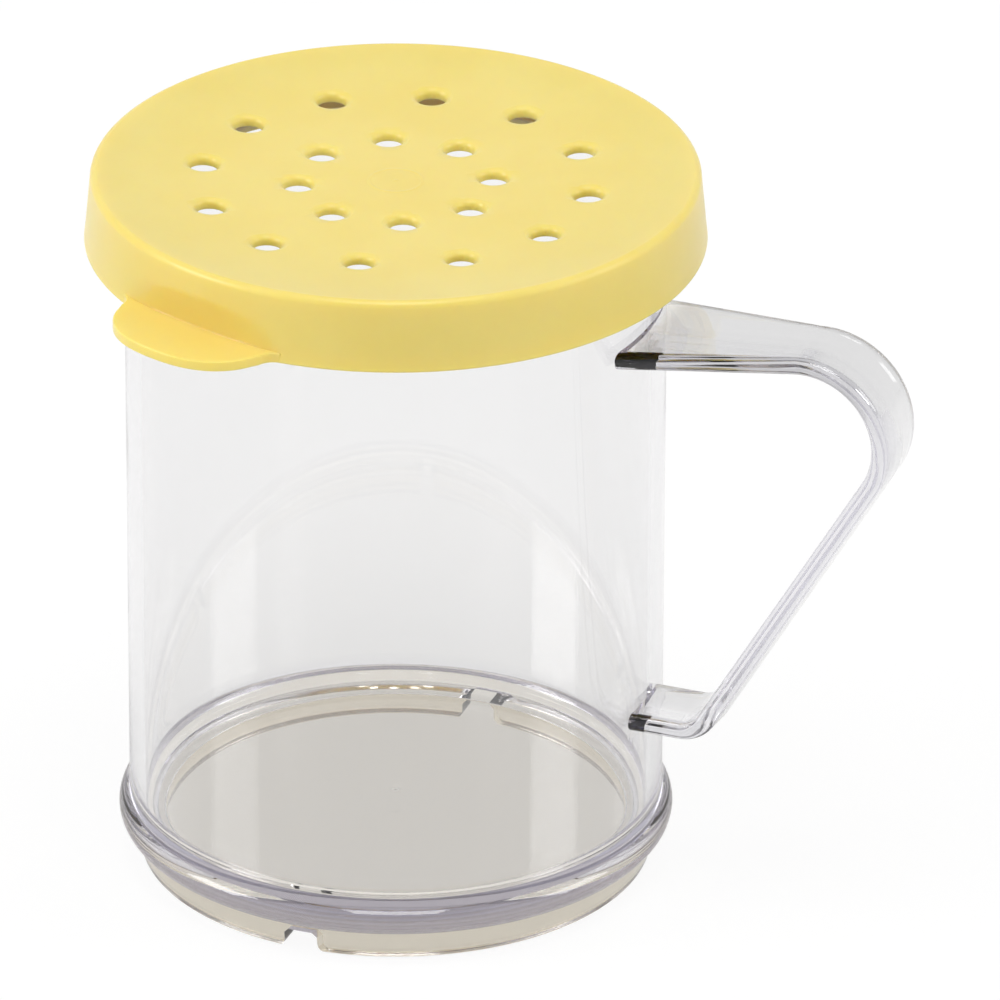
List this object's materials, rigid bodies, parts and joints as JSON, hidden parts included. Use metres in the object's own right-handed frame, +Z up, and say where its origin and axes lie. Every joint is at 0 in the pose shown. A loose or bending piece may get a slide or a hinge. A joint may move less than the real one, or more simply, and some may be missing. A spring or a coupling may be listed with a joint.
{
  "type": "spice shaker",
  "caption": "Clear plastic cup with a bent strap handle, a notched foot ring and a round perforated snap lid with a thumb tab.",
  "frame": {"origin": "middle of the footprint, on the surface that the foot ring stands on", "axes": "+X from the cup towards the handle, +Z up along the cup's axis, the thumb tab on the -Y side"},
  "size_m": [0.1114, 0.0874, 0.0984],
  "materials": {
    "clear_plastic": "clear glossy polycarbonate",
    "yellow_plastic": "satin soft plastic, pale yellow"
  },
  "bodies": {
    "cup": {"cup_wall": "clear_plastic", "cup_base": "clear_plastic", "handle": "clear_plastic"},
    "lid": {"lid": "yellow_plastic"}
  },
  "joints": [
    {"name": "lid_lift", "type": "slide", "parent": "cup", "child": "lid", "axis": [0, 0, 1], "range_m": [0, 0.018]}
  ]
}
